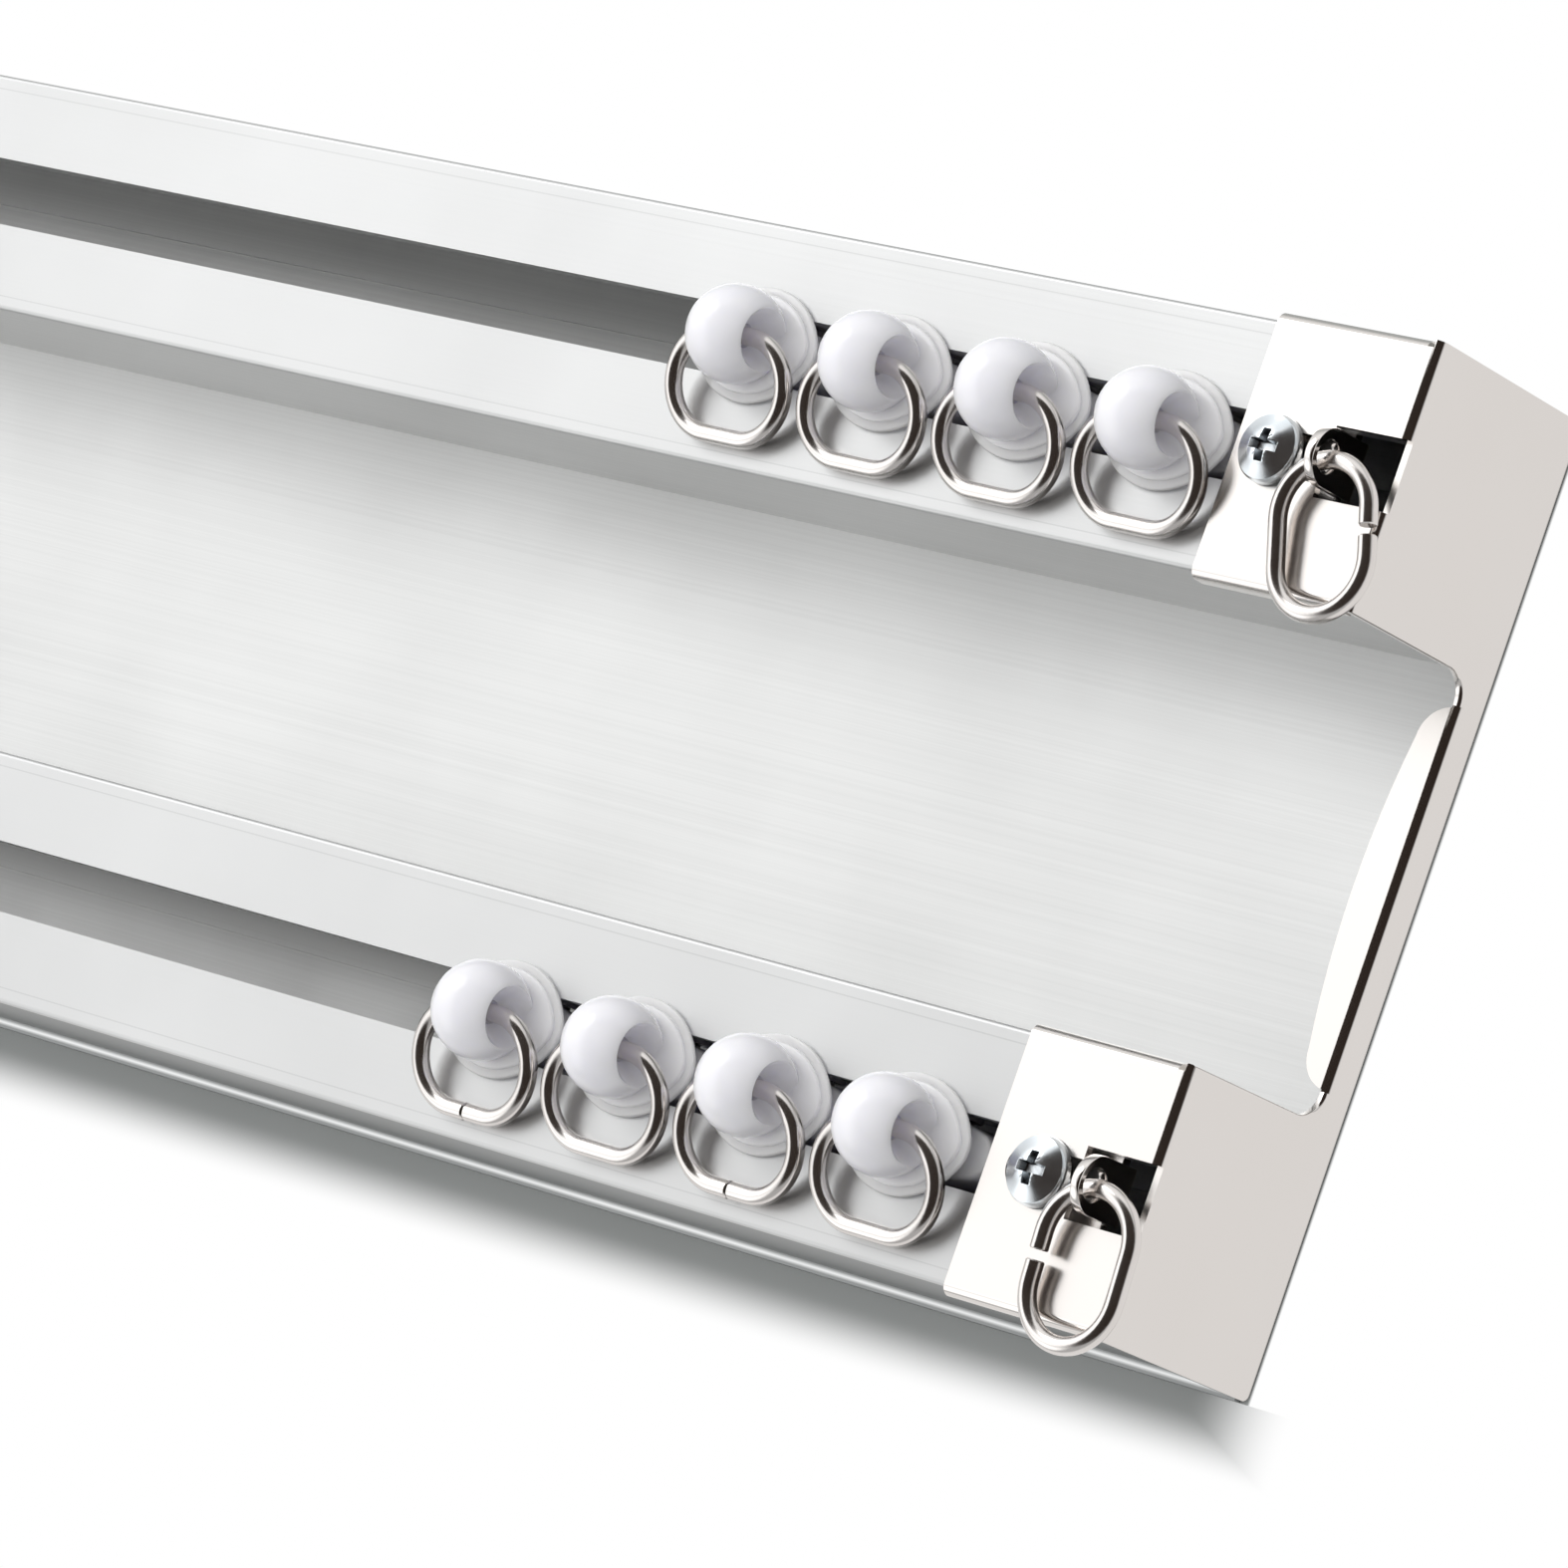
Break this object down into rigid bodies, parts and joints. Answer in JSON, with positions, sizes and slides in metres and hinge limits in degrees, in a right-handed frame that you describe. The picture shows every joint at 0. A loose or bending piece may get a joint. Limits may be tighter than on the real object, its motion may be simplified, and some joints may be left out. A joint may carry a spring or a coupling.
{
  "type": "curtain track",
  "caption": "Double curtain track: two slotted channels on a low web, capped ends, ball-headed runners with oval wire rings, and an eye with an open ring at each slot end.",
  "frame": {"origin": "centre of the fixing-hole pattern, on the plane of the track's flat back", "axes": "+X along the track to the end that the picture shows, +Y from the front channel to the rear one, +Z out of the slots"},
  "size_m": [0.6046, 0.1044, 0.0332],
  "materials": {
    "aluminium": "satin",
    "plated_sheet": "polished",
    "plated_strip": "polished",
    "ring_wire": "polished",
    "screw_zinc": "bright zinc",
    "nylon": "moulded",
    "wheel_nylon": "moulded",
    "axle_steel": "drawn"
  },
  "bodies": {
    "rail": {"track": "aluminium", "end_cap_right": "plated_sheet", "end_cap_left": "plated_sheet", "cap_screws": "screw_zinc", "eye_anchor_rear_right": "plated_strip", "eye_anchor_rear_left": "plated_strip", "eye_anchor_front_right": "plated_strip", "eye_anchor_front_left": "plated_strip"},
    "eye_rear_right": {"eye_ring_rear_right": "ring_wire"},
    "eye_rear_left": {"eye_ring_rear_left": "ring_wire"},
    "rear_4": {"runner_rear_4": "nylon"},
    "rear_4_ring": {"runner_ring_rear_4": "ring_wire"},
    "rear_4_wheels": {"runner_axle_rear_4": "axle_steel", "runner_wheel_rear_4_back": "wheel_nylon", "runner_wheel_rear_4_fore": "wheel_nylon"},
    "rear_3": {"runner_rear_3": "nylon"},
    "rear_3_ring": {"runner_ring_rear_3": "ring_wire"},
    "rear_3_wheels": {"runner_axle_rear_3": "axle_steel", "runner_wheel_rear_3_back": "wheel_nylon", "runner_wheel_rear_3_fore": "wheel_nylon"},
    "rear_2": {"runner_rear_2": "nylon"},
    "rear_2_ring": {"runner_ring_rear_2": "ring_wire"},
    "rear_2_wheels": {"runner_axle_rear_2": "axle_steel", "runner_wheel_rear_2_back": "wheel_nylon", "runner_wheel_rear_2_fore": "wheel_nylon"},
    "rear_1": {"runner_rear_1": "nylon"},
    "rear_1_ring": {"runner_ring_rear_1": "ring_wire"},
    "rear_1_wheels": {"runner_axle_rear_1": "axle_steel", "runner_wheel_rear_1_back": "wheel_nylon", "runner_wheel_rear_1_fore": "wheel_nylon"},
    "eye_front_right": {"eye_ring_front_right": "ring_wire"},
    "eye_front_left": {"eye_ring_front_left": "ring_wire"},
    "front_4": {"runner_front_4": "nylon"},
    "front_4_ring": {"runner_ring_front_4": "ring_wire"},
    "front_4_wheels": {"runner_axle_front_4": "axle_steel", "runner_wheel_front_4_back": "wheel_nylon", "runner_wheel_front_4_fore": "wheel_nylon"},
    "front_3": {"runner_front_3": "nylon"},
    "front_3_ring": {"runner_ring_front_3": "ring_wire"},
    "front_3_wheels": {"runner_axle_front_3": "axle_steel", "runner_wheel_front_3_back": "wheel_nylon", "runner_wheel_front_3_fore": "wheel_nylon"},
    "front_2": {"runner_front_2": "nylon"},
    "front_2_ring": {"runner_ring_front_2": "ring_wire"},
    "front_2_wheels": {"runner_axle_front_2": "axle_steel", "runner_wheel_front_2_back": "wheel_nylon", "runner_wheel_front_2_fore": "wheel_nylon"},
    "front_1": {"runner_front_1": "nylon"},
    "front_1_ring": {"runner_ring_front_1": "ring_wire"},
    "front_1_wheels": {"runner_axle_front_1": "axle_steel", "runner_wheel_front_1_back": "wheel_nylon", "runner_wheel_front_1_fore": "wheel_nylon"}
  },
  "joints": [
    {"name": "swing_eye_rear_right", "type": "hinge", "parent": "rail", "child": "eye_rear_right", "pos_m": [0.29275, 0.0369, 0.0273], "axis": [-1, 0, 0], "range_deg": [0, 191]},
    {"name": "swing_eye_rear_left", "type": "hinge", "parent": "rail", "child": "eye_rear_left", "pos_m": [-0.29275, 0.0369, 0.0273], "axis": [-1, 0, 0], "range_deg": [0, 191]},
    {"name": "slide_rear_4", "type": "slide", "parent": "rail", "child": "rear_4", "axis": [-1, 0, 0], "range_m": [0, 0.1213]},
    {"name": "swing_rear_4", "type": "hinge", "parent": "rear_4", "child": "rear_4_ring", "pos_m": [0.2706, 0.0369, 0.028], "axis": [-1, 0, 0], "range_deg": [0, 212.6]},
    {"name": "roll_rear_4", "type": "hinge", "parent": "rear_4", "child": "rear_4_wheels", "pos_m": [0.2706, 0.0369, 0.0173], "axis": [0, 1, 0], "continuous": true},
    {"name": "slide_rear_3", "type": "slide", "parent": "rear_4", "child": "rear_3", "axis": [-1, 0, 0], "range_m": [0, 0.1213]},
    {"name": "swing_rear_3", "type": "hinge", "parent": "rear_3", "child": "rear_3_ring", "pos_m": [0.252, 0.0369, 0.028], "axis": [-1, 0, 0], "range_deg": [0, 212.6]},
    {"name": "roll_rear_3", "type": "hinge", "parent": "rear_3", "child": "rear_3_wheels", "pos_m": [0.252, 0.0369, 0.0173], "axis": [0, 1, 0], "continuous": true},
    {"name": "slide_rear_2", "type": "slide", "parent": "rear_3", "child": "rear_2", "axis": [-1, 0, 0], "range_m": [0, 0.1213]},
    {"name": "swing_rear_2", "type": "hinge", "parent": "rear_2", "child": "rear_2_ring", "pos_m": [0.2334, 0.0369, 0.028], "axis": [-1, 0, 0], "range_deg": [0, 212.6]},
    {"name": "roll_rear_2", "type": "hinge", "parent": "rear_2", "child": "rear_2_wheels", "pos_m": [0.2334, 0.0369, 0.0173], "axis": [0, 1, 0], "continuous": true},
    {"name": "slide_rear_1", "type": "slide", "parent": "rear_2", "child": "rear_1", "axis": [-1, 0, 0], "range_m": [0, 0.1213]},
    {"name": "swing_rear_1", "type": "hinge", "parent": "rear_1", "child": "rear_1_ring", "pos_m": [0.2148, 0.0369, 0.028], "axis": [-1, 0, 0], "range_deg": [0, 212.6]},
    {"name": "roll_rear_1", "type": "hinge", "parent": "rear_1", "child": "rear_1_wheels", "pos_m": [0.2148, 0.0369, 0.0173], "axis": [0, 1, 0], "continuous": true},
    {"name": "swing_eye_front_right", "type": "hinge", "parent": "rail", "child": "eye_front_right", "pos_m": [0.29485, -0.0369, 0.0273], "axis": [-1, 0, 0], "range_deg": [0, 191]},
    {"name": "swing_eye_front_left", "type": "hinge", "parent": "rail", "child": "eye_front_left", "pos_m": [-0.29485, -0.0369, 0.0273], "axis": [-1, 0, 0], "range_deg": [0, 191]},
    {"name": "slide_front_4", "type": "slide", "parent": "rail", "child": "front_4", "axis": [-1, 0, 0], "range_m": [-0.002, 0.1208]},
    {"name": "swing_front_4", "type": "hinge", "parent": "front_4", "child": "front_4_ring", "pos_m": [0.2686, -0.0369, 0.028], "axis": [-1, 0, 0], "range_deg": [0, 212.6]},
    {"name": "roll_front_4", "type": "hinge", "parent": "front_4", "child": "front_4_wheels", "pos_m": [0.2686, -0.0369, 0.0173], "axis": [0, 1, 0], "continuous": true},
    {"name": "slide_front_3", "type": "slide", "parent": "front_4", "child": "front_3", "axis": [-1, 0, 0], "range_m": [0, 0.1208]},
    {"name": "swing_front_3", "type": "hinge", "parent": "front_3", "child": "front_3_ring", "pos_m": [0.25, -0.0369, 0.028], "axis": [-1, 0, 0], "range_deg": [0, 212.6]},
    {"name": "roll_front_3", "type": "hinge", "parent": "front_3", "child": "front_3_wheels", "pos_m": [0.25, -0.0369, 0.0173], "axis": [0, 1, 0], "continuous": true},
    {"name": "slide_front_2", "type": "slide", "parent": "front_3", "child": "front_2", "axis": [-1, 0, 0], "range_m": [0, 0.1208]},
    {"name": "swing_front_2", "type": "hinge", "parent": "front_2", "child": "front_2_ring", "pos_m": [0.2314, -0.0369, 0.028], "axis": [-1, 0, 0], "range_deg": [0, 212.6]},
    {"name": "roll_front_2", "type": "hinge", "parent": "front_2", "child": "front_2_wheels", "pos_m": [0.2314, -0.0369, 0.0173], "axis": [0, 1, 0], "continuous": true},
    {"name": "slide_front_1", "type": "slide", "parent": "front_2", "child": "front_1", "axis": [-1, 0, 0], "range_m": [0, 0.1208]},
    {"name": "swing_front_1", "type": "hinge", "parent": "front_1", "child": "front_1_ring", "pos_m": [0.2128, -0.0369, 0.028], "axis": [-1, 0, 0], "range_deg": [0, 212.6]},
    {"name": "roll_front_1", "type": "hinge", "parent": "front_1", "child": "front_1_wheels", "pos_m": [0.2128, -0.0369, 0.0173], "axis": [0, 1, 0], "continuous": true}
  ],
  "couplings": [
    {"joint": "roll_rear_4", "follows": "slide_rear_4", "rad_per_m": 200},
    {"joint": "roll_rear_3", "follows": "slide_rear_3", "rad_per_m": 200},
    {"joint": "roll_rear_2", "follows": "slide_rear_2", "rad_per_m": 200},
    {"joint": "roll_rear_1", "follows": "slide_rear_1", "rad_per_m": 200},
    {"joint": "roll_front_4", "follows": "slide_front_4", "rad_per_m": 200},
    {"joint": "roll_front_3", "follows": "slide_front_3", "rad_per_m": 200},
    {"joint": "roll_front_2", "follows": "slide_front_2", "rad_per_m": 200},
    {"joint": "roll_front_1", "follows": "slide_front_1", "rad_per_m": 200}
  ]
}
